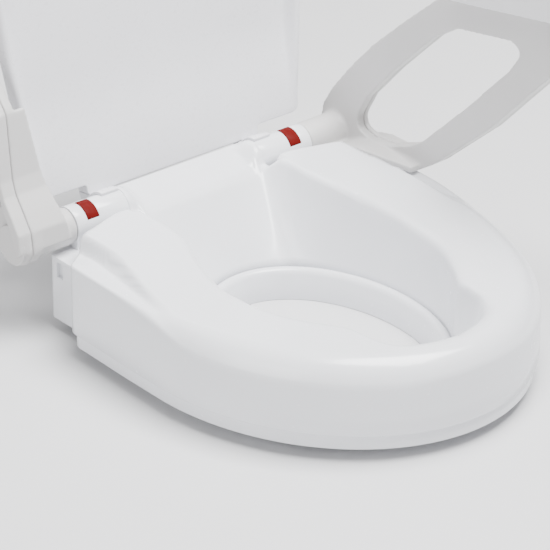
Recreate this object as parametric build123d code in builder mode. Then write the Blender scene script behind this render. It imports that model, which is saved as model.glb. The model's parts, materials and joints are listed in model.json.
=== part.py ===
"""Raised toilet seat with a hinged lid, two fold-up armrests and two red release clips.

Frame: the origin is midway between the two fixing slots, on the plane that rests on the bowl.
+X is the sitter's left, -Y the front of the seat, +Z up.  Millimetres.
The lid stands open, the left armrest is down and the right armrest is up.
"""
from math import cos, radians, sin
import os

from build123d import *

os.makedirs("parts", exist_ok=True)

# ---- driving dimensions: seat ----
SEAT_HALF_WIDTH = 185.0
SEAT_FRONT = -385.0            # front tip of the seat
FRONT_ARC_DEPTH = 224.0        # depth of the half-ellipse that forms the front
CORNER_X, CORNER_Y = 183.6, -37.0
REAR_WALL = 3.0
LIP_HEIGHT, LIP_INSET = 14.0, 3.5
TOP_Z = 84.0
TOP_ROUNDING = 15.0
WALL = 4.0

BOWL_CENTRE_Y = -180.0
BOWL_LOW_RADII = (94.0, 132.0)
BOWL_TOP_CENTRE_Y = -165.0
BOWL_TOP_RADII = (102.0, 151.0)
RECESS_FRONT = -348.0          # front edge of the hygiene recess at the top
RECESS_HALF_WIDTH = 60.0
SLOPE_LOW = (-49.0, 20.0)      # foot of the rear slope, (y, z)
SLOPE_TOP = (1.0, 84.0)
BLOCK_REAR, BLOCK_TOP_Z = 42.0, 97.2
BLOCK_HALF_WIDTH = 79.0
BUMP_TOP_Z = 98.0

GUARD_BOTTOM_Z = -12.0
PAD_SPOTS = [(-142, -150), (142, -150), (-108, -285), (108, -285), (-150, -62), (150, -62)]
PAD_DEPTH = 1.6

# ---- driving dimensions: hinge line ----
HINGE_Y, HINGE_Z = 26.0, 84.0
TUBE_R, BORE_R = 17.5, 14.6
TUBE_IN, TUBE_OUT = 79.6, 138.5
KNUCKLE_IN, KNUCKLE_OUT = 80.4, 100.0
RUNNING_GAP = 0.06
PEDESTAL_IN, PEDESTAL_OUT, PEDESTAL_REAR = 101.5, 162.0, 24.0
SHAFT_R, SHAFT_GAP = 6.0, 0.03
PEDESTAL_SCREW_X, PEDESTAL_SCREW_Y = (110.5, 134), 14
CLIP_X, CLIP_WIDTH, CLIP_CHORD = 120.0, 13.0, 22.0
CLIP_ANGLE = 24.0              # the clip's middle leans this far forward of straight up

# ---- driving dimensions: lid ----
LID_LEAN = 8.0
LID_OFFSET = 15.6              # from the hinge axis back to the lid's inner face
LID_THICKNESS, LID_SKIN, LID_RIM = 18.0, 4.0, 10.0
LID_LOW, LID_NOTCH_LOW, LID_LENGTH = 14.0, 24.0, 411.0
LID_NOTCH_X = 101.5
LID_DISH_START = 44.0          # the inner face is dished from here on

# ---- driving dimensions: armrests ----
ARM_IN, COVER_SPLIT, ARM_OUT = 182.0, 191.0, 197.0
HUB_OUT, HUB_R, CAP_R = 200.0, 18.5, 19.5
ARM_RAISE = 96.0
AXLE_R = 12.0
NECK_R = 9.4
WING_LOW, WING_END = 2.5, 123.0
WING_HUB_X, WING_EDGE_X, WING_OUT = 150.0, 170.5, 206.0
PAD_IN, PAD_OUT = 176.0, 208.0
ARM_SCREWS = [(14, 50), (70, 98), (113, 139), (215, 189), (293, 190), (197, 80), (128, 16)]   # (forward, up)
ARM_SCREW_R, HEAD_DEPTH, HOLE_GAP = 2.2, 2.5, 0.05
FLARE_START, FLARE_R = 172.0, 21.0

# ---- driving dimensions: fixing ----
SLOT_SPACING, SLOT_LENGTH, SLOT_R = 155.0, 22.0, 4.25
PLATE_THICKNESS = 3.0

HINGE = Axis((0, HINGE_Y, HINGE_Z), (1, 0, 0))
SIDES = {"left": 1, "right": -1}


def save(part, name, colour):
    """Label one finished piece, colour it and write it to its own file."""
    part.label = name
    part.color = Color(*colour)
    export_step(part, f"parts/{name}.step")


WHITE, GREY, PALE = (0.9, 0.9, 0.92), (0.72, 0.71, 0.7), (0.85, 0.85, 0.85)
RED, STEEL, DARK = (0.7, 0.15, 0.1), (0.6, 0.6, 0.62), (0.15, 0.15, 0.15)


def side_of(shape, side):
    """A piece drawn on the +X side, or its mirror image for the other side."""
    return shape if side > 0 else mirror(shape, about=Plane.YZ)


def both_sides(points):
    """Points down the +X side, followed by their mirror images."""
    return [*points, *[(-x, y) for x, y in reversed(points)]]


def outline(inset, z):
    """The seat's plan outline at height z, moved in by inset."""
    centre_y = SEAT_FRONT + FRONT_ARC_DEPTH
    half_width = SEAT_HALF_WIDTH - inset
    flank = [(half_width, centre_y), (half_width, centre_y + 45), (CORNER_X - inset, CORNER_Y - 0.45 * inset),
             (150 - 0.5 * inset, -11 - inset), (104, REAR_WALL - inset)]
    with BuildSketch(Plane.XY.offset(z), mode=Mode.PRIVATE) as sketch:
        with Locations((0, centre_y)):
            Ellipse(half_width, FRONT_ARC_DEPTH - inset)
            Rectangle(1000, 500, align=(Align.CENTER, Align.MIN), mode=Mode.SUBTRACT)
        Polygon(*both_sides(flank), align=None)
        corners = sketch.vertices().filter_by(lambda vertex: abs(abs(vertex.X) - flank[2][0]) < 0.1)
        fillet(corners, 14)
    return sketch.sketch


def ellipse(radii, centre_y, z):
    with BuildSketch(Plane.XY.offset(z), mode=Mode.PRIVATE) as sketch:
        with Locations((0, centre_y)):
            Ellipse(*radii)
    return sketch.sketch


def box_between(low, high):
    """A plain block from one corner to the other, for cutting and joining."""
    size = [top - bottom for bottom, top in zip(low, high)]
    centre = [(top + bottom) / 2 for bottom, top in zip(low, high)]
    return Pos(*centre) * Box(*size, mode=Mode.PRIVATE)


def rod(x0, x1, radius, y=HINGE_Y, z=HINGE_Z):
    """A round bar along X."""
    bar = Cylinder(radius, abs(x1 - x0), mode=Mode.PRIVATE)
    return Pos((x0 + x1) / 2, y, z) * Rot(0, 90, 0) * bar


# ================= seat body =================

def rounded_slab(half_width, front, rear, z, radius):
    with BuildSketch(Plane.XY.offset(z), mode=Mode.PRIVATE) as sketch:
        with Locations((0, (front + rear) / 2)):
            RectangleRounded(2 * half_width, rear - front, radius)
    return sketch.sketch


bowl_tool = loft([ellipse(BOWL_LOW_RADII, BOWL_CENTRE_Y, LIP_HEIGHT - 1),
                  ellipse(BOWL_TOP_RADII, BOWL_TOP_CENTRE_Y, TOP_Z + 18)])
recess_tool = loft([rounded_slab(RECESS_HALF_WIDTH - 12, -320, -200, 20, 40),
                    rounded_slab(RECESS_HALF_WIDTH + 2, RECESS_FRONT - 4, -200, TOP_Z + 6, 52)])

# everything above the rear slope and the sloping top of the centre block, between the bumps
with BuildPart() as slope_tool:
    with BuildSketch(Plane.YZ.offset(-76)):
        Polygon(SLOPE_LOW, SLOPE_TOP, (BLOCK_REAR + 10, BLOCK_TOP_Z + 3.4), (BLOCK_REAR + 10, 140),
                (-150, 140), (-150, 20), align=None)
    extrude(amount=152)

with BuildPart() as seat_shell:
    extrude(outline(0, LIP_HEIGHT), amount=TOP_Z - LIP_HEIGHT)
    fillet(seat_shell.edges().group_by(Axis.Z)[-1], TOP_ROUNDING)
    for side in SIDES.values():
        # raised bump beside the hinge, and the cheek below it that faces the opening
        with BuildPart(mode=Mode.PRIVATE) as bump:
            with BuildSketch(Plane.XY.offset(60)):
                with BuildLine():
                    Polyline((66, REAR_WALL), (104, REAR_WALL), (147, -14), (147, -60), (122, -140),
                             (92, -140), (66, -60), close=True)
                make_face()
            extrude(amount=BUMP_TOP_Z - 60)
            fillet(bump.edges().group_by(Axis.Z)[-1], 9)
        add(side_of(bump.part, side))
    # centre block that carries the lid shaft
    with BuildSketch(Plane.YZ.offset(-BLOCK_HALF_WIDTH)):
        Polygon((-60, LIP_HEIGHT), (-60, TOP_Z), (SLOPE_TOP[0], SLOPE_TOP[1]), (BLOCK_REAR, BLOCK_TOP_Z),
                (BLOCK_REAR, LIP_HEIGHT + 6), (REAR_WALL, LIP_HEIGHT), align=None)
    extrude(amount=2 * BLOCK_HALF_WIDTH)
    add(slope_tool.part, mode=Mode.SUBTRACT)
    add(bowl_tool, mode=Mode.SUBTRACT)
    add(recess_tool, mode=Mode.SUBTRACT)
    # hollow underside of the ring, outside the wall of the opening
    with BuildSketch(Plane.XY.offset(LIP_HEIGHT)):
        add(outline(WALL + 3.5, 0))
        with Locations((0, BOWL_TOP_CENTRE_Y)):
            Ellipse(BOWL_TOP_RADII[0] + WALL, BOWL_TOP_RADII[1] + WALL, mode=Mode.SUBTRACT)
        with Locations((0, RECESS_FRONT + 45)):
            Rectangle(2 * RECESS_HALF_WIDTH + 14, 110, mode=Mode.SUBTRACT)
        with Locations((0, -30)):
            Rectangle(2 * BLOCK_HALF_WIDTH + 2, 90, mode=Mode.SUBTRACT)
    extrude(amount=TOP_Z - LIP_HEIGHT - TOP_ROUNDING, mode=Mode.SUBTRACT)
    # hollow centre block, open below
    with BuildSketch(Plane.YZ.offset(-BLOCK_HALF_WIDTH + WALL)):
        Polygon((-44, LIP_HEIGHT), (5, 77), (BLOCK_REAR - WALL, 90.5), (BLOCK_REAR - WALL, LIP_HEIGHT),
                align=None)
    extrude(amount=2 * (BLOCK_HALF_WIDTH - WALL), mode=Mode.SUBTRACT)
    # bosses for the fixing plate's screws
    for x in (-30, 30):
        with BuildSketch(Plane.XY.offset(PLATE_THICKNESS)):
            with Locations((x, 6)):
                Circle(6)
        extrude(amount=76)
        with BuildSketch(Plane.XY.offset(PLATE_THICKNESS)):
            with Locations((x, 6)):
                Circle(2.3)
        extrude(amount=20, mode=Mode.SUBTRACT)
    add(rod(-BLOCK_HALF_WIDTH - 1, BLOCK_HALF_WIDTH + 1, SHAFT_R + SHAFT_GAP), mode=Mode.SUBTRACT)
    # room around the pedestals' side of the hinge, so the lid's hooks can turn
    for side in SIDES.values():
        hook_room = rod(side * (BLOCK_HALF_WIDTH + 0.1), side * 142, TUBE_R + 4.2)
        add(hook_room, mode=Mode.SUBTRACT)
save(seat_shell.part, "seat_shell", WHITE)

def pad_spots(gap):
    """The outlines of the soft pads in the base ring's underside, grown by gap."""
    with BuildSketch(Plane.XY, mode=Mode.PRIVATE) as sketch:
        with Locations(*PAD_SPOTS):
            RectangleRounded(22 + 2 * gap, 34 + 2 * gap, 6)
    return sketch.sketch


with BuildPart() as base_ring:
    extrude(outline(LIP_INSET, 0), amount=LIP_HEIGHT)
    with BuildSketch(Plane.XY):
        with Locations((0, BOWL_CENTRE_Y)):
            Ellipse(BOWL_LOW_RADII[0] + 7, BOWL_LOW_RADII[1] + 7)
    extrude(amount=LIP_HEIGHT, mode=Mode.SUBTRACT)
    add(box_between((-200, -34, -1), (200, 60, LIP_HEIGHT + 1)), mode=Mode.SUBTRACT)
    extrude(pad_spots(0.05), amount=PAD_DEPTH, mode=Mode.SUBTRACT)
save(base_ring.part, "base_ring", WHITE)

with BuildPart() as splash_guard:
    loft([ellipse((86, 124), BOWL_CENTRE_Y, GUARD_BOTTOM_Z), ellipse((93, 131), BOWL_CENTRE_Y, LIP_HEIGHT)])
    loft([ellipse((83, 121), BOWL_CENTRE_Y, GUARD_BOTTOM_Z), ellipse((90, 128), BOWL_CENTRE_Y, LIP_HEIGHT)],
         mode=Mode.SUBTRACT)
    # ledge that the shell's wall stands on
    with BuildSketch(Plane.XY.offset(LIP_HEIGHT - 5)):
        with Locations((0, BOWL_CENTRE_Y)):
            Ellipse(BOWL_LOW_RADII[0] + 6.6, BOWL_LOW_RADII[1] + 6.6)
            Ellipse(90.6, 128.6, mode=Mode.SUBTRACT)
    extrude(amount=5)
save(splash_guard.part, "splash_guard", WHITE)

with BuildPart() as fixing_plate:
    with BuildSketch(Plane.XY):
        with Locations((0, -4)):
            RectangleRounded(196, 54, 8)
        with Locations((-SLOT_SPACING / 2, 0), (SLOT_SPACING / 2, 0)):
            SlotOverall(SLOT_LENGTH, 2 * SLOT_R, mode=Mode.SUBTRACT)
        with Locations((-30, 6), (30, 6)):
            Circle(2.7, mode=Mode.SUBTRACT)
    extrude(amount=PLATE_THICKNESS)
save(fixing_plate.part, "fixing_plate", STEEL)


def screw(radius, length, head_r, head_h):
    """A pan-head screw, its head at the bottom and its tip up."""
    with BuildPart(mode=Mode.PRIVATE) as piece:
        Cylinder(radius, length, align=(Align.CENTER, Align.CENTER, Align.MIN))
        with Locations((0, 0, -head_h)):
            Cylinder(head_r, head_h, align=(Align.CENTER, Align.CENTER, Align.MIN))
        fillet(piece.edges().group_by(Axis.Z)[0], head_h * 0.4)
        with Locations((0, 0, -head_h)):
            Box(head_r * 1.2, 0.9, 1.0, align=(Align.CENTER, Align.CENTER, Align.MIN), mode=Mode.SUBTRACT)
            Box(0.9, head_r * 1.2, 1.0, align=(Align.CENTER, Align.CENTER, Align.MIN), mode=Mode.SUBTRACT)
    return piece.part


with BuildPart() as plate_screws:
    for x in (-30, 30):
        add(Pos(x, 6, 0) * screw(2.2, 18, 4.5, 2.4))
save(plate_screws.part, "plate_screws", STEEL)

with BuildPart() as grip_pads:
    extrude(pad_spots(0), amount=PAD_DEPTH)
save(grip_pads.part, "grip_pads", DARK)

with BuildPart() as lid_shaft:
    add(rod(-99, 99, SHAFT_R))
    chamfer(lid_shaft.edges().group_by(Axis.X)[0] + lid_shaft.edges().group_by(Axis.X)[-1], 1)
save(lid_shaft.part, "lid_shaft", STEEL)

# frame of a clip's travel: its z axis points straight out through the middle of the clip
CLIP_OUT = Vector(0, -sin(radians(CLIP_ANGLE)), cos(radians(CLIP_ANGLE)))


def clip_plane():
    return Plane(origin=(CLIP_X, HINGE_Y, HINGE_Z), x_dir=(1, 0, 0), z_dir=CLIP_OUT)


def clip_block(width, chord, low, high):
    """A block square to the clip's travel, from radius low to radius high."""
    block = Pos(0, 0, (low + high) / 2) * Box(width, chord, high - low, mode=Mode.PRIVATE)
    return clip_plane().location * block


outline_block = extrude(outline(0, -1), amount=TOP_Z)

for name, side in SIDES.items():
    with BuildPart() as pedestal:
        add(box_between((PEDESTAL_IN, -42, 0), (PEDESTAL_OUT, PEDESTAL_REAR, 64)))
        fillet(pedestal.edges().filter_by(Axis.Z).group_by(Axis.Y)[-1], 7)
        add(outline_block, mode=Mode.SUBTRACT)
        hollow = box_between((PEDESTAL_IN + 4, -20, -1), (PEDESTAL_OUT - 5, PEDESTAL_REAR - 5, 52))
        add(hollow, mode=Mode.SUBTRACT)
        # upright slot in the outer face
        add(box_between((PEDESTAL_OUT - 4, 3, 44), (PEDESTAL_OUT + 1, 12, 60)), mode=Mode.SUBTRACT)
        with Locations(*[(x, PEDESTAL_SCREW_Y, 58) for x in PEDESTAL_SCREW_X]):
            Cylinder(2.4, 20, mode=Mode.SUBTRACT)
    save(side_of(pedestal.part, side), f"rear_pedestal_{name}", WHITE)

    with BuildPart() as housing:
        add(rod(TUBE_IN, TUBE_OUT, TUBE_R))
        add(box_between((PEDESTAL_IN, HINGE_Y - 15, 64), (TUBE_OUT, PEDESTAL_REAR, HINGE_Z)))
        add(rod(KNUCKLE_OUT + 2, TUBE_OUT + 1, BORE_R), mode=Mode.SUBTRACT)
        add(rod(TUBE_IN - 1, KNUCKLE_OUT + 3, SHAFT_R + SHAFT_GAP), mode=Mode.SUBTRACT)
        with Locations(*[(x, PEDESTAL_SCREW_Y, 63) for x in PEDESTAL_SCREW_X]):
            Cylinder(2.0, 11, mode=Mode.SUBTRACT)
        add(clip_block(CLIP_WIDTH + 0.7, CLIP_CHORD + 0.7, 8, 30), mode=Mode.SUBTRACT)
        add(outline_block, mode=Mode.SUBTRACT)
    save(side_of(housing.part, side), f"hinge_housing_{name}", WHITE)

    with BuildPart() as bush:
        add(rod(131, TUBE_OUT, BORE_R))
        add(rod(130, TUBE_OUT + 1, AXLE_R + RUNNING_GAP), mode=Mode.SUBTRACT)
    save(side_of(bush.part, side), f"axle_bush_{name}", DARK)

    with BuildPart() as clip:
        add(clip_block(CLIP_WIDTH, CLIP_CHORD, 6, 30))
        add(rod(CLIP_X - 20, CLIP_X + 20, TUBE_R + 0.5), mode=Mode.INTERSECT)
        add(rod(CLIP_X - 20, CLIP_X + 20, 12.6), mode=Mode.SUBTRACT)
        # hidden flange that keeps the clip in its window
        with BuildPart(mode=Mode.PRIVATE) as flange:
            add(clip_block(CLIP_WIDTH + 4, 17, 9, 14.6))
            add(rod(CLIP_X - 20, CLIP_X + 20, 14.2), mode=Mode.INTERSECT)
            add(rod(CLIP_X - 20, CLIP_X + 20, 12.6), mode=Mode.SUBTRACT)
        add(flange.part)
    save(side_of(clip.part, side), f"release_clip_{name}", RED)

with BuildPart() as pedestal_screws:
    for side in SIDES.values():
        for x in PEDESTAL_SCREW_X:
            add(Pos(side * x, PEDESTAL_SCREW_Y, 52) * screw(2, 16, 4, 2.2))
# the screws stand in the pedestals' roofs and end in the housings' saddles
save(pedestal_screws.part, "pedestal_screws", STEEL)

# ================= lid =================
LID_HALF_WIDTH, LID_TOP_START = 174.0, 230.0
LID_FLANK = [(152, LID_NOTCH_LOW), (157.5, 60), (165, 110), (171, 160), (LID_HALF_WIDTH, 205),
             (LID_HALF_WIDTH, LID_TOP_START)]

lean = radians(LID_LEAN)
LID_UP = Vector(0, sin(lean), cos(lean))
LID_BACK = Vector(0, cos(lean), -sin(lean))
LID_FACE = Plane(origin=Vector(0, HINGE_Y, HINGE_Z) + LID_BACK * LID_OFFSET, x_dir=(-1, 0, 0), z_dir=LID_BACK)


def lid_outline(inset):
    """The lid's outline in its own plane, moved in by inset; x across, y up along the lid."""
    flank = [(half_width - inset, along) for half_width, along in LID_FLANK]
    foot = [(LID_NOTCH_X - inset, LID_LOW + inset), (LID_NOTCH_X - inset, LID_NOTCH_LOW + inset),
            (flank[0][0], LID_NOTCH_LOW + inset)]
    with BuildSketch(mode=Mode.PRIVATE) as sketch:
        with Locations((0, LID_TOP_START)):
            Ellipse(LID_HALF_WIDTH - inset, LID_LENGTH - LID_TOP_START - inset)
            Rectangle(1000, 500, align=(Align.CENTER, Align.MAX), mode=Mode.SUBTRACT)
        Polygon(*both_sides(foot + flank[1:]), align=None)
        notch_level = sketch.vertices().filter_by(lambda vertex: abs(vertex.Y - LID_NOTCH_LOW - inset) < 0.1)
        fillet(notch_level.filter_by(lambda vertex: abs(vertex.X) > LID_NOTCH_X), 9)
    return sketch.sketch


with BuildPart() as lid_panel:
    extrude(LID_FACE.location * lid_outline(0), amount=LID_THICKNESS)
    with BuildSketch(mode=Mode.PRIVATE) as dish:
        add(lid_outline(LID_RIM))
        Rectangle(1000, 2 * LID_DISH_START, mode=Mode.SUBTRACT)
    extrude(LID_FACE.location * dish.sketch, amount=LID_THICKNESS - LID_SKIN, mode=Mode.SUBTRACT)
save(lid_panel.part, "lid_panel", WHITE)

for name, side in SIDES.items():
    # C-shaped hook that snaps over the hinge tube from behind
    with BuildPart() as hook:
        add(rod(KNUCKLE_IN, KNUCKLE_OUT, TUBE_R + 3))
        add(rod(KNUCKLE_IN - 1, KNUCKLE_OUT + 1, TUBE_R + RUNNING_GAP), mode=Mode.SUBTRACT)
        with BuildSketch(Plane.YZ.offset(KNUCKLE_IN - 1)):
            Polygon((HINGE_Y, HINGE_Z), (HINGE_Y - 3, HINGE_Z + 40), (HINGE_Y - 60, HINGE_Z + 40),
                    (HINGE_Y - 60, HINGE_Z - 40), (HINGE_Y + 8, HINGE_Z - 40), align=None)
        extrude(amount=30, mode=Mode.SUBTRACT)
        # web that joins the hook to the lid's back
        with BuildPart(mode=Mode.PRIVATE) as web:
            with BuildSketch(Plane.YZ.offset(KNUCKLE_IN)):
                low = LID_FACE.origin + LID_UP * 4
                high = LID_FACE.origin + LID_UP * LID_LOW
                Polygon((HINGE_Y + 8, HINGE_Z + 14), (HINGE_Y + 2, HINGE_Z + 20),
                        (high.Y, high.Z), (high.Y + 17 * cos(lean), high.Z - 17 * sin(lean)),
                        (low.Y + 9, low.Z - 6), (HINGE_Y + 18, HINGE_Z - 4), align=None)
            extrude(amount=KNUCKLE_OUT - KNUCKLE_IN)
            add(rod(KNUCKLE_IN - 1, KNUCKLE_OUT + 1, TUBE_R + RUNNING_GAP), mode=Mode.SUBTRACT)
        add(web.part)
    save(side_of(hook.part, side), f"lid_hook_{name}", WHITE)

BUFFER_SPOTS = [(-122, 352), (122, 352), (-160, 236), (160, 236)]
with BuildPart() as lid_buffers:
    with BuildSketch(LID_FACE):
        with Locations(*BUFFER_SPOTS):
            Circle(4)
    extrude(amount=-4.2)
    chamfer(lid_buffers.faces().filter_by(LID_FACE).group_by(Axis(LID_FACE.origin, LID_BACK))[0].edges(), 1)
save(lid_buffers.part, "lid_buffers", DARK)

# ================= armrests =================
# The side view is drawn as (forward, up) from the hinge axis, with the armrest down.
WING_UNDERSIDE = [(WING_END, WING_LOW), (60, WING_LOW), (46, -1), (30, -10.5), (14, -18.5)]
ARM_OUTLINE = [(-22, 4), (-18, 22), (-5, 42), (19, 71), (52, 106), (97, 146), (142, 184), (187, 198),
               (327, 230), (340, 222), (338, 200), (297, 162), (219, 81), (148, 20), *WING_UNDERSIDE,
               (-8, -20), (-19, -10)]
WING_PROFILE = [*WING_UNDERSIDE, (-5, -18.5), (-5, -12), (10, -8), (38, 4), (58, 8.5), (WING_END, 8.5)]
HAND_OPENING = [(46, 50), (84, 91), (138, 143), (169, 163), (243, 176), (255, 168), (239, 145), (182, 87),
                (124, 32), (108, 22), (82, 12), (50, 8), (33, 12), (31, 24)]
PAD_PROFILE = [(156, 189), (166, 212), (300, 246), (350, 250), (364, 236), (356, 226), (296, 213)]


def arm_face(points, x, corner):
    """A closed outline in the armrest's side view, at width x, with its corners rounded."""
    with BuildSketch(Plane.YZ.offset(x), mode=Mode.PRIVATE) as sketch:
        with BuildLine():
            Polyline(*[(HINGE_Y - forward, HINGE_Z + up) for forward, up in points], close=True)
        make_face()
        fillet(sketch.vertices(), corner)
    return sketch.sketch


def armrest(turn, side, name):
    """The pieces of one armrest, turned about the hinge by turn degrees from lying down."""

    def place(shape):
        turned = shape.rotate(HINGE, -turn) if turn else shape
        return side_of(turned, side)

    with BuildPart() as frame:
        extrude(arm_face(ARM_OUTLINE, ARM_IN, 2), amount=COVER_SPLIT - ARM_IN)
        extrude(arm_face(HAND_OPENING, ARM_IN, 5), amount=COVER_SPLIT - ARM_IN, mode=Mode.SUBTRACT)
        # wing along the lower edge, which reaches in over the seat's shoulder and narrows to the front
        with BuildPart(mode=Mode.PRIVATE) as wing:
            extrude(arm_face(WING_PROFILE, WING_HUB_X, 1), amount=ARM_IN + 4 - WING_HUB_X)
            with BuildSketch(Plane.XY.offset(HINGE_Z - 30)):
                wing_front = HINGE_Y - WING_END - 1
                Polygon((WING_HUB_X, HINGE_Y + 10), (WING_HUB_X, HINGE_Y - 6), (WING_EDGE_X, wing_front),
                        (ARM_IN + 5, wing_front), (ARM_IN + 5, HINGE_Y + 10), align=None)
            extrude(amount=60, mode=Mode.INTERSECT)
        add(wing.part)
        for forward, up in ARM_SCREWS:
            spot = (HINGE_Y - forward, HINGE_Z + up)
            add(rod(ARM_IN, COVER_SPLIT, ARM_SCREW_R + HOLE_GAP, *spot), mode=Mode.SUBTRACT)
            add(rod(ARM_IN, ARM_IN + HEAD_DEPTH, 4.4, *spot), mode=Mode.SUBTRACT)
        # hub from the housing's end to the panel, which flares into the panel
        add(rod(TUBE_OUT + 0.4, COVER_SPLIT, TUBE_R))
        flare = Cone(TUBE_R, FLARE_R, ARM_IN + 2 - FLARE_START, mode=Mode.PRIVATE)
        add(Pos((FLARE_START + ARM_IN + 2) / 2, HINGE_Y, HINGE_Z) * Rot(0, 90, 0) * flare)
        add(rod(TUBE_OUT, COVER_SPLIT + 1, AXLE_R), mode=Mode.SUBTRACT)
    save(place(frame.part), f"armrest_frame_{name}", GREY)

    with BuildPart() as screws:
        for forward, up in ARM_SCREWS:
            turned = Rot(0, 90, 0) * screw(ARM_SCREW_R, 10, 4, 2.2)
            add(Pos(ARM_IN + HEAD_DEPTH, HINGE_Y - forward, HINGE_Z + up) * turned)
    save(place(screws.part), f"armrest_screws_{name}", STEEL)

    with BuildPart() as cover:
        extrude(arm_face(ARM_OUTLINE, COVER_SPLIT, 2), amount=ARM_OUT - COVER_SPLIT)
        extrude(arm_face(HAND_OPENING, COVER_SPLIT, 5), amount=ARM_OUT - COVER_SPLIT, mode=Mode.SUBTRACT)
        # outer half of the wing, and the hub that the axle ends in
        extrude(arm_face(WING_PROFILE, COVER_SPLIT, 1), amount=WING_OUT - COVER_SPLIT)
        add(rod(COVER_SPLIT, HUB_OUT, HUB_R))
        add(rod(COVER_SPLIT - 1, HUB_OUT + 1, AXLE_R), mode=Mode.SUBTRACT)
        add(rod(HUB_OUT, WING_OUT + 1, CAP_R + 0.4), mode=Mode.SUBTRACT)
        for forward, up in ARM_SCREWS:
            spot = (HINGE_Y - forward, HINGE_Z + up)
            add(rod(COVER_SPLIT, COVER_SPLIT + 4.2, ARM_SCREW_R + HOLE_GAP, *spot), mode=Mode.SUBTRACT)
    save(place(cover.part), f"armrest_cover_{name}", GREY)

    with BuildPart() as pad:
        extrude(arm_face(PAD_PROFILE, PAD_IN, 2), amount=PAD_OUT - PAD_IN)
        # channel in its underside that takes the armrest's upper edge
        extrude(arm_face(ARM_OUTLINE, ARM_IN - 0.05, 2), amount=ARM_OUT - ARM_IN + 0.1, mode=Mode.SUBTRACT)
    save(place(pad.part), f"armrest_pad_{name}", PALE)

    with BuildPart() as axle:
        add(rod(104, HUB_OUT - 2, AXLE_R))
        add(rod(110.5, 130.5, AXLE_R + 2) - rod(110, 131, NECK_R), mode=Mode.SUBTRACT)
    save(place(axle.part), f"armrest_axle_{name}", STEEL)

    with BuildPart() as hub_cap:
        add(rod(HUB_OUT - 1.8, HUB_OUT, AXLE_R - 0.2))
        add(rod(HUB_OUT, HUB_OUT + 2.5, CAP_R))
        fillet(hub_cap.edges().group_by(Axis.X)[-1], 1.5)
    save(place(hub_cap.part), f"hub_cap_{name}", GREY)


armrest(0, SIDES["left"], "left")
armrest(ARM_RAISE, SIDES["right"], "right")
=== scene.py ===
"""Raised toilet seat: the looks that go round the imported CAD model.

The object's lengths are written in millimetres and turned to metres when a mesh
is made. The studio, the camera and the materials' fine grain are in metres.
+X is the sitter's left, -Y the front of the seat, +Z up.
"""
import json
from math import cos, pi, radians, sin

import bmesh
import bpy
import numpy as np
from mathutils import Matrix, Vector


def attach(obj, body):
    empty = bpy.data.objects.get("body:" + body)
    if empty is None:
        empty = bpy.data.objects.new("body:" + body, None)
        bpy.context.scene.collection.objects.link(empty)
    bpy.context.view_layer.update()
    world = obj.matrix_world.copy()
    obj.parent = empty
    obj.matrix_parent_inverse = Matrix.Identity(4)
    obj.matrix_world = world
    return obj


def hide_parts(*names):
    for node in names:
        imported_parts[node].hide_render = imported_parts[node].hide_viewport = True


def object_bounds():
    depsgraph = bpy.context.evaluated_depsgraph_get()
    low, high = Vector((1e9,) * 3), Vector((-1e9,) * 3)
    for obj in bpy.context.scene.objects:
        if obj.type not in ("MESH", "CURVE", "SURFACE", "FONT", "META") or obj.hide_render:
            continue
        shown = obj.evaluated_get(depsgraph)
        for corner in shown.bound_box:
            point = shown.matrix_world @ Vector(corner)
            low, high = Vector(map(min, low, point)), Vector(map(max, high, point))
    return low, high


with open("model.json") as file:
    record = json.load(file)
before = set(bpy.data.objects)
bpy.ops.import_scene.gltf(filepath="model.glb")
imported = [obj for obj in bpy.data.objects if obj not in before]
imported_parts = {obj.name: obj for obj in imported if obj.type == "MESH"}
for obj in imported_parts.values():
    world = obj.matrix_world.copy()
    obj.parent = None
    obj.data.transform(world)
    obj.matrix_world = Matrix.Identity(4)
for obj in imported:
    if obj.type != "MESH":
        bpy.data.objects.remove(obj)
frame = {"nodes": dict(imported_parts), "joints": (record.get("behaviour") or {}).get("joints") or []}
cad_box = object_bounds()

MM = 0.001
JOINTS = {joint["name"]: joint for joint in frame["joints"]}
HINGE = np.array(JOINTS["lid_hinge"]["pos_m"]) / MM          # a point on the hinge line
HINGE_Y, HINGE_Z = HINGE[1], HINGE[2]


# ================= small tools =================

def smooth(low, high, value):
    """A soft step from 0 at low to 1 at high."""
    share = np.clip((value - low) / (high - low), 0, 1)
    return share * share * (3 - 2 * share)


def mix(start, end, share):
    return start + (end - start) * share


def bend(start, corner, end, share):
    """A point on the quadratic curve from start to end that is pulled towards the corner."""
    return (1 - share) ** 2 * start + 2 * share * (1 - share) * corner + share ** 2 * end


def rounded(points, radii, steps=8):
    """An open polyline with a soft bend of the given radius at each inner point."""
    points = [np.array(point, float) for point in points]
    made = [points[0]]
    for before, here, after, radius in zip(points, points[1:], points[2:], radii):
        back, ahead = before - here, after - here
        back_length, ahead_length = np.linalg.norm(back), np.linalg.norm(ahead)
        turn = np.arccos(np.clip(-(back @ ahead) / (back_length * ahead_length), -1, 1))
        reach = min(radius * np.tan(turn / 2), 0.49 * back_length, 0.49 * ahead_length)
        start, end = here + back / back_length * reach, here + ahead / ahead_length * reach
        made += [bend(start, here, end, step / steps) for step in range(steps + 1)]
    made.append(points[-1])
    return np.array(made)


def resampled(points, spacing):
    """The same polyline with evenly spaced points."""
    lengths = np.r_[0, np.cumsum(np.linalg.norm(np.diff(points, axis=0), axis=1))]
    count = max(2, int(round(lengths[-1] / spacing)))
    places = np.linspace(0, lengths[-1], count + 1)
    return np.c_[np.interp(places, lengths, points[:, 0]), np.interp(places, lengths, points[:, 1])]


def arc(centre, radii, start, end, steps=24):
    """Points on an ellipse's arc, with angles in degrees from the first axis."""
    angles = np.radians(np.linspace(start, end, steps + 1))
    return np.c_[centre[0] + radii[0] * np.cos(angles), centre[1] + radii[1] * np.sin(angles)]


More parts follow.
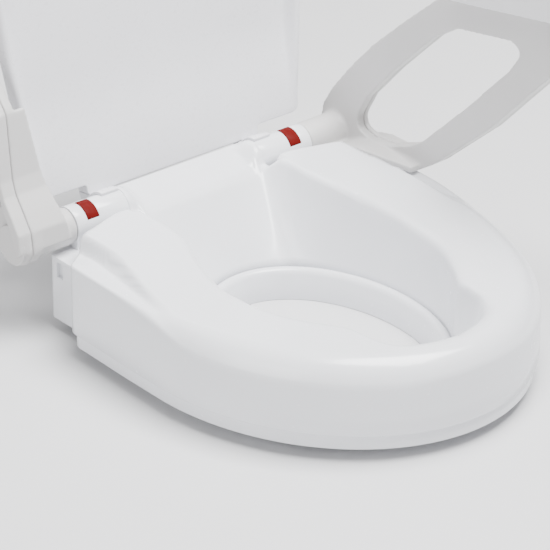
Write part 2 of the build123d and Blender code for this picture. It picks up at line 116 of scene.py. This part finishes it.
def closed_by_mirror(half):
    """A half outline that starts and ends on x = 0, followed by its mirror image."""
    other = half[-2:0:-1] * [-1, 1]
    return np.vstack([half, other])


def curve_through(points, steps=12):
    """A smooth open curve through the points (Catmull-Rom)."""
    points = np.array(points, float)
    padded = np.vstack([2 * points[0] - points[1], points, 2 * points[-1] - points[-2]])
    made = []
    for p0, p1, p2, p3 in zip(padded, padded[1:], padded[2:], padded[3:]):
        for share in np.arange(steps) / steps:
            made.append(0.5 * (2 * p1 + (p2 - p0) * share
                               + (2 * p0 - 5 * p1 + 4 * p2 - p3) * share ** 2
                               + (3 * p1 - p0 - 3 * p2 + p3) * share ** 3))
    made.append(points[-1])
    return np.array(made)


def polar(points, centre):
    """The points' distances and directions from the centre."""
    away = points - centre
    return np.hypot(*away.T), np.arctan2(away[:, 1], away[:, 0])


def reach_of(curve, centre, angles):
    """How far a closed curve lies from the centre, in each direction."""
    reach, turns = polar(curve, centre)
    order = np.argsort(turns)
    return np.interp(angles, turns[order], reach[order], period=2 * pi)


def rays_to(outline, centre):
    """Unit rays from the centre to the outline's points, and how squarely each meets it."""
    away = outline - centre
    ray = away / np.hypot(*away.T)[:, None]
    run = np.roll(outline, -1, 0) - np.roll(outline, 1, 0)
    normal = np.c_[run[:, 1], -run[:, 0]] / np.hypot(*run.T)[:, None]
    return ray, np.sum(ray * normal, 1)


def mesh_object(name, points, faces, material):
    """A mesh object from points in millimetres."""
    mesh = bpy.data.meshes.new(name)
    mesh.from_pydata((np.asarray(points) * MM).tolist(), [], faces)
    mesh.validate()
    work = bmesh.new()
    work.from_mesh(mesh)
    bmesh.ops.remove_doubles(work, verts=work.verts, dist=1e-6)
    bmesh.ops.recalc_face_normals(work, faces=work.faces)
    work.to_mesh(mesh)
    work.free()
    piece = bpy.data.objects.new(name, mesh)
    bpy.context.scene.collection.objects.link(piece)
    mesh.materials.append(material)
    mesh.shade_smooth()
    return piece


def grid_faces(rows, columns, wrap_rows=True):
    """Quads of a grid whose columns close on themselves, and whose rows may."""
    faces = []
    for row in range(rows if wrap_rows else rows - 1):
        below = (row + 1) % rows
        for column in range(columns):
            beside = (column + 1) % columns
            faces.append((row * columns + column, row * columns + beside,
                          below * columns + beside, below * columns + column))
    return faces


def end_faces(rows, columns):
    """One face over the first row of a grid and one over the last."""
    return [tuple(range(columns)), tuple(range(columns * (rows - 1), columns * rows))]


def applied(piece):
    """The piece with its modifiers made part of its mesh."""
    graph = bpy.context.evaluated_depsgraph_get()
    graph.update()
    mesh = bpy.data.meshes.new_from_object(piece.evaluated_get(graph))
    piece.modifiers.clear()
    piece.data = mesh
    return piece


def ridden(piece, body, nodes=()):
    """The piece put on its body, and in place of the CAD nodes named."""
    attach(piece, body)
    if nodes:
        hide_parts(*nodes)
    return piece


# ================= materials =================

def linked(tree, kind, inputs=(), **settings):
    """A shader node with its settings, its constant inputs and its links."""
    node = tree.nodes.new(kind)
    for key, value in settings.items():
        setattr(node, key, value)
    for key, value in dict(inputs).items():
        if isinstance(value, bpy.types.NodeSocket):
            tree.links.new(value, node.inputs[key])
        else:
            node.inputs[key].default_value = value
    return node


def moulded(name, colour, shade, roughness, grain=0.02, coat=0.0, grain_scale=1400.0,
            shine=0.5):
    """Moulded plastic: faint colour drift, uneven gloss and a fine grain or orange peel."""
    material = bpy.data.materials.new(name)
    material.use_nodes = True
    tree = material.node_tree
    shader = tree.nodes["Principled BSDF"]
    place = linked(tree, "ShaderNodeTexCoord").outputs["Object"]
    drift = linked(tree, "ShaderNodeTexNoise",
                   {"Vector": place, "Scale": 9.0, "Detail": 4.0, "Roughness": 0.55})
    specks = linked(tree, "ShaderNodeTexNoise", {"Vector": place, "Scale": 260.0, "Detail": 3.0})
    ramp = linked(tree, "ShaderNodeMapRange",
                  {"Value": drift.outputs["Fac"], "From Min": 0.35, "From Max": 0.65})
    paint = linked(tree, "ShaderNodeMix", data_type="RGBA")
    tree.links.new(ramp.outputs["Result"], paint.inputs["Factor"])
    for socket in paint.inputs:
        if socket.type == "RGBA":
            socket.default_value = (*(colour if socket.name == "A" else shade), 1)
    painted = [out for out in paint.outputs if out.type == "RGBA"][0]
    tree.links.new(painted, shader.inputs["Base Color"])
    gloss = linked(tree, "ShaderNodeMapRange",
                   {"Value": specks.outputs["Fac"], "From Min": 0.3, "From Max": 0.7,
                    "To Min": roughness * 0.85, "To Max": roughness * 1.15})
    tree.links.new(gloss.outputs["Result"], shader.inputs["Roughness"])
    peel = linked(tree, "ShaderNodeTexNoise",
                  {"Vector": place, "Scale": grain_scale, "Detail": 2.0})
    bump = linked(tree, "ShaderNodeBump",
                  {"Height": peel.outputs["Fac"], "Strength": grain, "Distance": 0.0004})
    tree.links.new(bump.outputs["Normal"], shader.inputs["Normal"])
    shader.inputs["Specular IOR Level"].default_value = shine
    shader.inputs["Coat Weight"].default_value = coat
    shader.inputs["Coat Roughness"].default_value = 0.12
    return material


def metal(name, colour, roughness, direction):
    """Drawn or plated steel, with fine lines along one direction."""
    material = bpy.data.materials.new(name)
    material.use_nodes = True
    tree = material.node_tree
    shader = tree.nodes["Principled BSDF"]
    place = linked(tree, "ShaderNodeTexCoord").outputs["Object"]
    stretched = linked(tree, "ShaderNodeMapping", {"Vector": place, "Scale": direction})
    lines = linked(tree, "ShaderNodeTexNoise",
                   {"Vector": stretched.outputs["Vector"], "Scale": 300.0, "Detail": 4.0})
    gloss = linked(tree, "ShaderNodeMapRange",
                   {"Value": lines.outputs["Fac"], "To Min": roughness * 0.6,
                    "To Max": roughness * 1.5})
    tree.links.new(gloss.outputs["Result"], shader.inputs["Roughness"])
    tone = linked(tree, "ShaderNodeMapRange",
                  {"Value": lines.outputs["Fac"], "To Min": 0.8, "To Max": 1.15})
    tint = linked(tree, "ShaderNodeVectorMath", {0: colour}, operation="SCALE")
    tree.links.new(tone.outputs["Result"], tint.inputs["Scale"])
    tree.links.new(tint.outputs["Vector"], shader.inputs["Base Color"])
    bump = linked(tree, "ShaderNodeBump",
                  {"Height": lines.outputs["Fac"], "Strength": 0.08, "Distance": 0.0003})
    tree.links.new(bump.outputs["Normal"], shader.inputs["Normal"])
    shader.inputs["Metallic"].default_value = 1.0
    return material


SHELL_WHITE = moulded("shell_white", (0.80, 0.81, 0.84), (0.77, 0.78, 0.81), 0.24,
                      grain=0.03, coat=0.35)
LID_WHITE = moulded("lid_white", (0.77, 0.77, 0.80), (0.74, 0.74, 0.77), 0.30,
                    grain=0.05, coat=0.2)
ARM_GREY = moulded("arm_grey", (0.57, 0.56, 0.555), (0.54, 0.53, 0.525), 0.42,
                   grain=0.16, grain_scale=2200.0)
PAD_GREY = moulded("pad_grey", (0.74, 0.74, 0.75), (0.70, 0.70, 0.71), 0.46,
                   grain=0.22, grain_scale=1800.0)
CLIP_RED = moulded("clip_red", (0.10, 0.002, 0.001), (0.09, 0.0015, 0.001), 0.6,
                   grain=0.08, shine=0.1)
BUSH_BLACK = moulded("bush_black", (0.03, 0.03, 0.032), (0.022, 0.022, 0.024), 0.45, grain=0.15)
RUBBER = moulded("rubber", (0.15, 0.15, 0.155), (0.12, 0.12, 0.125), 0.7,
                 grain=0.4, grain_scale=900.0)
STEEL = metal("plated_steel", (0.62, 0.62, 0.64), 0.3, (1.0, 1.0, 1.0))
AXLE_STEEL = metal("turned_steel", (0.6, 0.6, 0.61), 0.25, (14.0, 1.0, 1.0))


# ================= seat shell =================
SEAT_CENTRE = np.array([0.0, -175.0])
FRONT_CENTRE, FRONT_RADII = (0.0, -161.0), (185.0, 224.0)
CORNER, CORNER_RADIUS = (183.6, -37.0), 14.0
REAR_Y, BLOCK_REAR, BLOCK_HALF_WIDTH = 3.0, 42.0, 79.0
SHELL_LOW, RIDGE_Z, FRONT_TOP_Z, BUMP_RISE = 14.0, 83.5, 84.0, 13.0
FRONT_ROUNDING, RIDGE_ROUNDING, BUMP_ROUNDING = 24.0, 2.6, 9.0
FOOT_ROUNDING = 1.2            # at the shell's lower edge
OUTLINE_STEP = 2.2             # distance between the outline's points
SEAT_HALF = 184.2              # half width from which the rear's shoulder is measured
FLANK_Y = -60.0                # behind this the shoulder is measured straight across
FRONT_CLIMB, CLIMB = 22.0, 6.0    # run of the raised surface's side, in front and at the rear
SHOULDER = 26.0                # widest stretch of the shoulder outside the raised surface
SHOULDER_FALL, REAR_FALL = 2.2, 1.2    # how far the shoulder slopes down outwards and rearwards
BUMP_FADE = (-178.0, -62.0)    # along these the sitting surface rises to the bumps
REAR_FADE = (-240.0, -90.0)    # along these the front's round edge turns into the rear's ridge
SHOULDER_FADE = (-225.0, -35.0)   # along these the shoulder widens
INNER_BENDS = (9.0, 7.0)       # reach of the bend into the opening, in front and at the rear
LOW_CENTRE_Y, LOW_RADII = -180.0, (94.0, 132.0)    # the opening at the shell's lower edge
BLOCK_SLOPE = 0.322            # the centre block's top rises this much per millimetre to the rear
COLLAR_R = 18.4                # rounding of the block's ends, where they meet the hinge housings
INNER_EDGE = [(0, -353.5), (30, -347), (50, -336), (60, -320), (63, -300), (66, -280), (84, -250),
              (99, -216), (105, -166), (102, -137), (96, -112), (86, -80), (83, -48), (83, -18),
              (78, -6), (66, 1), (40, 1), (0, 1)]


def seat_half_outline():
    front = arc(FRONT_CENTRE, FRONT_RADII, -90, 0, 60)
    flank = [(185, -161), (185, -116), CORNER, (150, -11), (104, REAR_Y),
             (BLOCK_HALF_WIDTH + 1, REAR_Y), (BLOCK_HALF_WIDTH, BLOCK_REAR), (0, BLOCK_REAR)]
    flank = rounded(flank, [60, CORNER_RADIUS, 30, 20, 1.5, 2.5])
    return np.vstack([front[:-1], flank])


def seat_top(x, y):
    """Height of the sitting surface, the raised rear parts and the centre block."""
    across = np.abs(x)
    sitting = FRONT_TOP_Z + BUMP_RISE * smooth(*BUMP_FADE, y)
    block = FRONT_TOP_Z + (y - 1) * BLOCK_SLOPE
    collar = HINGE_Z + np.sqrt(np.maximum(COLLAR_R ** 2 - (y - HINGE_Y) ** 2, 0))
    block = block + np.maximum(collar - block, 0) * smooth(60, 77, across)
    rear_fade = 1 - smooth(-14, 7, y) * (1 - smooth(84, 92, across))
    raised = np.maximum(smooth(66, 85, across) * rear_fade, 1 - smooth(-90, -60, y))
    return mix(block, sitting, raised)


def seat_shell():
    """The seat as one loft: up the outer wall, over the top and down the opening."""
    outline = closed_by_mirror(resampled(seat_half_outline(), OUTLINE_STEP))
    reach, angles = polar(outline, SEAT_CENTRE)
    ray, facing = rays_to(outline, SEAT_CENTRE)
    square = np.maximum(facing, 0.35)
    edge = reach_of(closed_by_mirror(curve_through(INNER_EDGE)), SEAT_CENTRE, angles)
    low = reach_of(arc((0, LOW_CENTRE_Y), LOW_RADII, 0, 360, 240)[:-1], SEAT_CENTRE, angles)

    across, along = np.abs(outline[:, 0]), outline[:, 1]
    rear = smooth(*REAR_FADE, along)
    at_bump = np.where(along > FLANK_Y, smooth(SHOULDER, SHOULDER + CLIMB, SEAT_HALF - across), 0.0)
    at_block = np.where((along > REAR_Y + 0.5) & (across < BLOCK_HALF_WIDTH + 2), 1.0, 0.0)
    rounding = mix(mix(FRONT_ROUNDING, RIDGE_ROUNDING, rear), BUMP_ROUNDING, at_bump)
    rounding = mix(rounding, np.where(across > BLOCK_HALF_WIDTH - 3, 0.8, 2.5), at_block)
    width = (reach - edge) * square
    rounding = np.minimum(rounding, 0.62 * width)
    climb = mix(FRONT_CLIMB, CLIMB, rear)
    corner_reach = np.minimum(mix(*INNER_BENDS, rear), 0.3 * width)
    rows = []

    def top_at(depth):
        """Height and place of the top surface this far in from the outline."""
        place = outline - ray * (depth / square)[:, None]
        core = seat_top(place[:, 0], place[:, 1])
        shoulder = SHOULDER * smooth(*SHOULDER_FADE, place[:, 1])
        inwards = np.where(along > FLANK_Y, SEAT_HALF - np.abs(place[:, 0]), depth)
        ledge = (RIDGE_Z - SHOULDER_FALL * smooth(0, np.maximum(shoulder, 1), inwards)
                 - REAR_FALL * smooth(-45, -25, place[:, 1]))
        stepped = mix(ledge, core, smooth(shoulder, shoulder + climb, inwards))
        return place, mix(stepped, core, at_block)

    def row(place, height):
        rows.append(np.c_[place, np.broadcast_to(height, len(place))])

    row(outline - ray * (FOOT_ROUNDING / square)[:, None], SHELL_LOW)
    row(outline, SHELL_LOW + FOOT_ROUNDING)
    base = top_at(np.zeros(len(outline)))[1] - rounding
    for share in (0.35, 0.7):
        row(outline, mix(SHELL_LOW + FOOT_ROUNDING, base, share))
    for turn in np.radians(np.linspace(0, 90, 9)):
        place, height = top_at(rounding * (1 - cos(turn)))
        row(place, height - rounding * (1 - sin(turn)))
    for share in np.linspace(0, 1, 27)[1:]:
        row(*top_at(mix(rounding, width - corner_reach, share ** 1.25)))
    corner_place, corner_height = top_at(width)
    start_place, start_height = top_at(width - corner_reach)
    fall = np.c_[-ray * (edge - low)[:, None], SHELL_LOW - corner_height]
    fall /= np.linalg.norm(fall, axis=1)[:, None]
    start, corner = np.c_[start_place, start_height], np.c_[corner_place, corner_height]
    end = corner + fall * (corner_reach / square)[:, None]
    for share in np.linspace(0, 1, 7)[1:]:
        rows.append(bend(start, corner, end, share))
    foot = np.c_[SEAT_CENTRE + ray * low[:, None], np.full(len(ray), SHELL_LOW)]
    for share in np.linspace(0, 1, 9)[1:]:
        rows.append(mix(end, foot, share))
    faces = grid_faces(len(rows), len(outline))
    piece = mesh_object("seat_shell_moulding", np.vstack(rows), faces, SHELL_WHITE)
    return ridden(piece, "seat", ["seat_shell"])


def splash_guard():
    """The inner skirt with its rounded ledge, as rings of ellipses."""
    section = [(99.5, 9.5), (99.5, 13.6), (95.4, 14.6), (94.6, 16.4), (92.8, 17.6), (90.4, 17.9),
               (88.0, 17.2), (86.2, 15.4), (85.3, 12.4), (84.4, 5), (81.8, -11.2), (82.4, -12),
               (84.4, -12), (86.2, -11), (89.6, 5), (90.6, 9.3)]
    sides = 160
    rings = []
    for half_width, height in section:
        radii = (half_width, half_width + LOW_RADII[1] - LOW_RADII[0])
        ring = arc((0, LOW_CENTRE_Y), radii, 0, 360, sides)[:-1]
        rings.append(np.c_[ring, np.full(sides, height)])
    faces = grid_faces(len(rings), sides)
    piece = mesh_object("splash_guard_moulding", np.vstack(rings), faces, SHELL_WHITE)
    return ridden(piece, "seat", ["splash_guard"])


def plate_bosses():
    """Two posts between the seat's centre block and the fixing plate."""
    section = [(6.6, 14.5), (6.0, 13), (6.0, 3.4), (5.6, 3.0)]
    sides = 32
    for number, x in enumerate((-30, 30), 1):
        rings = [np.c_[arc((x, 6), (radius, radius), 0, 360, sides)[:-1], np.full(sides, height)]
                 for radius, height in section]
        faces = grid_faces(len(rings), sides, wrap_rows=False) + end_faces(len(rings), sides)
        piece = mesh_object(f"plate_boss_{number}", np.vstack(rings), faces, SHELL_WHITE)
        ridden(piece, "seat")


# ================= lid =================
LID_LEAN, LID_OFFSET, LID_THICKNESS = radians(8.0), 15.6, 18.0
LID_CENTRE = np.array([0.0, 190.0])
LID_LOW, LID_NOTCH = 14.0, 24.0
LID_STEP = 3.2                 # distance between the outline's points
LID_DEPTH = 12.0               # how deep the inner face is dished
LID_DISH_FADE = (26.0, 120.0)  # above the hinge line, along these the dish reaches its depth
LID_RIM = 13.0                 # width of the rim and the slope into the dish
LID_EDGE_LOW, LID_EDGE, LID_BACK_EDGE = 1.3, 4.2, 6.0    # edge roundings
LID_CROWN = 3.0                # how far the back bulges in the middle
LID_UP = np.array([0, sin(LID_LEAN), cos(LID_LEAN)])
LID_BACK = np.array([0, cos(LID_LEAN), -sin(LID_LEAN)])


def lid_half_outline():
    flank = [(0, LID_LOW), (101.5, LID_LOW), (101.5, LID_NOTCH), (152, LID_NOTCH), (157.5, 60),
             (165, 110), (171, 160), (174, 205), (174, 230)]
    flank = rounded(flank, [2.5, 2.5, 9, 80, 120, 120, 120])
    crown = arc((0, 230), (174, 181), 0, 90, 60)
    return np.vstack([flank[:-1], crown])


def lid_panel():
    """The lid as rings that run from its inner face over the rim to its back."""
    outline = closed_by_mirror(resampled(lid_half_outline(), LID_STEP))
    count = len(outline)
    ray, facing = rays_to(outline, LID_CENTRE)
    square = np.maximum(np.abs(facing), 0.45)

    def inset_by(inset):
        return outline - ray * (inset / square)[:, None]

    def inwards(share):
        return mix(LID_CENTRE, inset_by(LID_RIM), share)

    def dish_at(place):
        return smooth(*LID_DISH_FADE, place[:, 1])

    rows = []
    for share in (0.02, 0.15, 0.3, 0.45, 0.6, 0.72, 0.82, 0.9, 0.96, 1.0):
        place = inwards(share)
        rows.append((place, LID_DEPTH * dish_at(place)))
    for inset, share in ((11.5, 0.95), (10, 0.75), (8.8, 0.45), (7.6, 0.18), (6.4, 0.03), (4.6, 0)):
        place = inset_by(inset)
        rows.append((place, LID_DEPTH * share * dish_at(place)))
    edge = mix(LID_EDGE_LOW, LID_EDGE, smooth(LID_LOW + 4, 50, outline[:, 1]))
    for turn in np.radians(np.linspace(0, 90, 6)):
        rows.append((inset_by(edge * (1 - sin(turn))), edge * (1 - cos(turn))))
    for turn in np.radians(np.linspace(0, 90, 7)):
        depth = LID_THICKNESS - LID_BACK_EDGE * (1 - sin(turn))
        rows.append((inset_by(LID_BACK_EDGE * (1 - cos(turn))), np.full(count, depth)))
    for share in (0.96, 0.88, 0.78, 0.65, 0.5, 0.35, 0.2, 0.02):
        depth = LID_THICKNESS + LID_CROWN * (1 - share ** 2)
        rows.append((inwards(share), np.full(count, depth)))
    points = []
    for place, depth in rows:
        points.append(HINGE + np.outer(place[:, 1], LID_UP) + np.outer(LID_OFFSET + depth, LID_BACK)
                      + np.outer(place[:, 0], (1, 0, 0)))
    faces = grid_faces(len(rows), count, wrap_rows=False) + end_faces(len(rows), count)
    piece = mesh_object("lid_moulding", np.vstack(points), faces, LID_WHITE)
    return ridden(piece, "lid", ["lid_panel"])


# ================= armrests =================
# Drawn as (forward, up) from the hinge line with the armrest down, then turned.
ARM_IN, COVER_SPLIT, ARM_OUT, WING_OUT = 182.0, 191.0, 197.0, 206.0
SEAM = 0.1                     # each side of the split stands back by this much
HUB_R, HUB_OUT = 18.5, 199.7
NECK = [(138.9, 17.4), (174, 17.5), (179, 18.2), (184, 20)]    # (x, radius) on the hinge line
WING_START, WING_END = 6, 123  # forward, ends of the wing's straight inner edge
WING_IN_REAR, WING_IN_FRONT = 150.0, 170.5
PAD_IN, PAD_OUT = 176.3, 207.7
LOOP_BEND, OPENING_BEND, PAD_BEND = 14, 16, 8    # corner radii
FRAME_MELT, COVER_MELT, PAD_MELT = (1.4, 4), (1.5, 4), (1.8, 8)    # voxel size, smoothing passes
RAISED = radians(96)           # turn of the raised armrest
WING_UNDERSIDE = [(123, 2.5), (60, 2.5), (46, -1), (30, -10.5), (14, -19)]
LOOP_OUTLINE = [(-22, 4), (-18, 22), (-5, 42), (19, 71), (52, 106), (97, 146), (142, 184),
                (187, 198), (327, 230), (340, 222), (338, 200), (297, 162), (219, 81), (148, 20),
                *WING_UNDERSIDE, (-8, -20), (-19, -10)]
WING_PROFILE = [*WING_UNDERSIDE, (-5, -19), (-8, -12), (10, -8), (38, 4), (58, 8.5), (123, 8.5)]
HAND_OPENING = [(46, 50), (84, 91), (138, 143), (169, 163), (243, 176), (255, 168), (239, 145),
                (182, 87), (124, 32), (108, 22), (82, 12), (50, 8), (33, 12), (31, 24)]
PAD_PROFILE = [(156, 189), (166, 212), (300, 246), (350, 250), (364, 236), (356, 226), (296, 213)]


def loop_of(points, radius):
    """A closed outline with every corner softened."""
    points = [tuple(point) for point in points]
    closing = rounded([points[-1], *points, points[0]], [radius] * len(points), 5)
    return closing[1:-1]


def wing_edge(forward):
    """The wing's straight inner edge, which moves outwards towards the front."""
    share = (forward - WING_START) / (WING_END - WING_START)
    return mix(WING_IN_REAR, WING_IN_FRONT, share)


def prism(work, outline, low, high, hole=None):
    """A slab between two widths, with an optional hole.

    Each width is a number, or a function of the place forward.
    """
    def ring(points, width):
        corners = []
        for forward, up in points:
            x = width(forward) if callable(width) else width
            corners.append(work.verts.new((x, HINGE_Y - forward, HINGE_Z + up)))
        edges = [work.edges.new((a, b)) for a, b in zip(corners, corners[1:] + corners[:1])]
        return corners, edges

    loops = [outline] if hole is None else [outline, hole]
    near = [ring(points, low) for points in loops]
    far = [ring(points, high) for points in loops]
    for side in (near, far):
        bmesh.ops.triangle_fill(work, edges=[edge for _, edges in side for edge in edges])
    for (corners, _), (others, _) in zip(near, far):
        for index, corner in enumerate(corners):
            following = (index + 1) % len(corners)
            work.faces.new((corner, corners[following], others[following], others[index]))


def drum(work, sections, segments=64):
    """A solid turned about the hinge line, through (x, radius) sections."""
    turns = [2 * pi * k / segments for k in range(segments)]
    rings = []
    for x, radius in sections:
        ring = [(x, HINGE_Y + radius * cos(turn), HINGE_Z + radius * sin(turn)) for turn in turns]
        rings.append([work.verts.new(corner) for corner in ring])
    for ring, following in zip(rings, rings[1:]):
        for k in range(segments):
            beside = (k + 1) % segments
            work.faces.new((ring[k], ring[beside], following[beside], following[k]))
    work.faces.new(rings[0])
    work.faces.new(rings[-1])


def softened(name, work, material, voxel, passes, turn, side):
    """The solids melted together, smoothed, then turned about the hinge and put on its side."""
    for vertex in work.verts:
        x, y, z = vertex.co
        back, up = y - HINGE_Y, z - HINGE_Z
        vertex.co = (side * x,
                     HINGE_Y + back * cos(turn) + up * sin(turn),
                     HINGE_Z - back * sin(turn) + up * cos(turn))
    bmesh.ops.recalc_face_normals(work, faces=work.faces)
    for vertex in work.verts:
        vertex.co *= MM
    mesh = bpy.data.meshes.new(name)
    work.to_mesh(mesh)
    work.free()
    piece = bpy.data.objects.new(name, mesh)
    bpy.context.scene.collection.objects.link(piece)
    melt = piece.modifiers.new("melt", "REMESH")
    melt.mode, melt.voxel_size = "VOXEL", voxel * MM
    polish = piece.modifiers.new("polish", "SMOOTH")
    polish.factor, polish.iterations = 0.5, passes
    applied(piece)
    piece.data.materials.clear()
    piece.data.materials.append(material)
    piece.data.shade_smooth()
    return piece


def armrest_frame(turn, side, name):
    """The loop's inner half with its neck on the hinge line and the wing's inner part."""
    work = bmesh.new()
    loop, opening = loop_of(LOOP_OUTLINE, LOOP_BEND), loop_of(HAND_OPENING, OPENING_BEND)
    prism(work, loop, ARM_IN, COVER_SPLIT - SEAM, opening)
    drum(work, NECK)
    prism(work, WING_PROFILE, wing_edge, ARM_IN + 4)
    piece = softened(f"armrest_{name}_frame_moulding", work, ARM_GREY, *FRAME_MELT, turn, side)
    return ridden(piece, f"armrest_{name}", [f"armrest_frame_{name}"])


def armrest_cover(turn, side, name):
    """The loop's outer half with the hub and the wing's outer part."""
    work = bmesh.new()
    loop, opening = loop_of(LOOP_OUTLINE, LOOP_BEND), loop_of(HAND_OPENING, OPENING_BEND)
    prism(work, loop, COVER_SPLIT + SEAM, ARM_OUT, opening)
    prism(work, WING_PROFILE, COVER_SPLIT + SEAM, WING_OUT)
    drum(work, [(COVER_SPLIT + SEAM, HUB_R), (HUB_OUT, HUB_R)])
    piece = softened(f"armrest_{name}_cover_moulding", work, ARM_GREY, *COVER_MELT, turn, side)
    return ridden(piece, f"armrest_{name}", [f"armrest_cover_{name}"])


def armrest_pad(turn, side, name):
    """The grip along the loop's top."""
    work = bmesh.new()
    prism(work, loop_of(PAD_PROFILE, PAD_BEND), PAD_IN, PAD_OUT)
    piece = softened(f"armrest_{name}_pad_moulding", work, PAD_GREY, *PAD_MELT, turn, side)
    return ridden(piece, f"armrest_{name}", [f"armrest_pad_{name}"])


# ================= parts shown as the CAD has them =================

def finished_node(name, material, bevel):
    """A CAD node with its material, its sharp edges softened."""
    node = frame["nodes"][name]
    node.data.materials.clear()
    node.data.materials.append(material)
    for face in node.data.polygons:
        face.material_index = 0
    node.data.shade_smooth()
    if bevel:
        weld = node.modifiers.new("weld", "WELD")
        weld.merge_threshold = 1e-6
        flat = node.modifiers.new("flat", "DECIMATE")
        flat.decimate_type, flat.angle_limit = "DISSOLVE", radians(1)
        soften = node.modifiers.new("soften", "BEVEL")
        soften.width, soften.segments = bevel * MM, 3
        soften.limit_method, soften.angle_limit = "ANGLE", radians(35)
        soften.harden_normals = True


def cad_parts():
    """The pieces kept from the CAD, each with its look."""
    finished_node("base_ring", SHELL_WHITE, 1.6)
    finished_node("fixing_plate", STEEL, 0.5)
    finished_node("plate_screws", STEEL, 0)
    finished_node("pedestal_screws", STEEL, 0)
    finished_node("grip_pads", RUBBER, 0)
    finished_node("lid_shaft", AXLE_STEEL, 0)
    finished_node("lid_buffers", RUBBER, 0)
    for name in ("left", "right"):
        finished_node(f"rear_pedestal_{name}", SHELL_WHITE, 1.0)
        finished_node(f"hinge_housing_{name}", SHELL_WHITE, 0.5)
        finished_node(f"axle_bush_{name}", BUSH_BLACK, 0)
        finished_node(f"release_clip_{name}", CLIP_RED, 0.6)
        finished_node(f"lid_hook_{name}", LID_WHITE, 0.6)
        finished_node(f"armrest_axle_{name}", AXLE_STEEL, 0.3)
        finished_node(f"armrest_screws_{name}", STEEL, 0)
        finished_node(f"hub_cap_{name}", ARM_GREY, 0.5)


# ================= studio, in metres =================
FLOOR_SIZE, WORLD_STRENGTH = 12, 0.45
LIT_POINT = Vector((0, -0.15, 0.1))
LIGHTS = [("key", (0.3, -0.7, 2.6), 1.6, 240),      # name, place, size, power in watts
          ("rim", (-0.6, 1.6, 1.9), 1.4, 12),
          ("side", (-2.6, -0.4, 1.3), 1.6, 30)]


def studio():
    """The floor under the object's lowest point, an even white surround and three soft lights."""
    floor_z = cad_box[0].z
    bpy.ops.mesh.primitive_grid_add(x_subdivisions=8, y_subdivisions=8, size=FLOOR_SIZE,
                                    location=(0, 0, floor_z))
    floor = bpy.context.object
    floor.name = "studio_floor"
    paint = moulded("floor_paint", (0.68, 0.68, 0.69), (0.67, 0.67, 0.68), 0.6, grain=0.02)
    floor.data.materials.append(paint)
    world = bpy.data.worlds.new("studio_world")
    world.use_nodes = True
    surround = world.node_tree.nodes["Background"]
    surround.inputs["Color"].default_value = (1, 1, 1, 1)
    surround.inputs["Strength"].default_value = WORLD_STRENGTH
    bpy.context.scene.world = world
    for name, place, size, power in LIGHTS:
        light = bpy.data.lights.new(name, "AREA")
        light.energy, light.size = power, size
        lamp = bpy.data.objects.new(name, light)
        lamp.location = place
        lamp.rotation_mode = "QUATERNION"
        lamp.rotation_quaternion = (LIT_POINT - lamp.location).to_track_quat("-Z", "Y")
        bpy.context.scene.collection.objects.link(lamp)


def camera():
    """The viewpoint: in front, to the sitter's right and above."""
    target, distance = Vector((0, -0.104, 0.039)), 3.5
    direction = Vector((-0.5627, -0.6826, 0.4664))
    data = bpy.data.cameras.new("camera")
    data.lens, data.sensor_width = 250.2, 36
    made = bpy.data.objects.new("camera", data)
    made.location = target + direction * distance
    made.rotation_mode = "QUATERNION"
    made.rotation_quaternion = (-direction).to_track_quat("-Z", "Y")
    bpy.context.scene.collection.objects.link(made)
    bpy.context.scene.camera = made


seat_shell()
splash_guard()
plate_bosses()
lid_panel()
for arm_name, arm_side, arm_turn in (("left", 1, 0.0), ("right", -1, RAISED)):
    armrest_frame(arm_turn, arm_side, arm_name)
    armrest_cover(arm_turn, arm_side, arm_name)
    armrest_pad(arm_turn, arm_side, arm_name)
cad_parts()
studio()
camera()
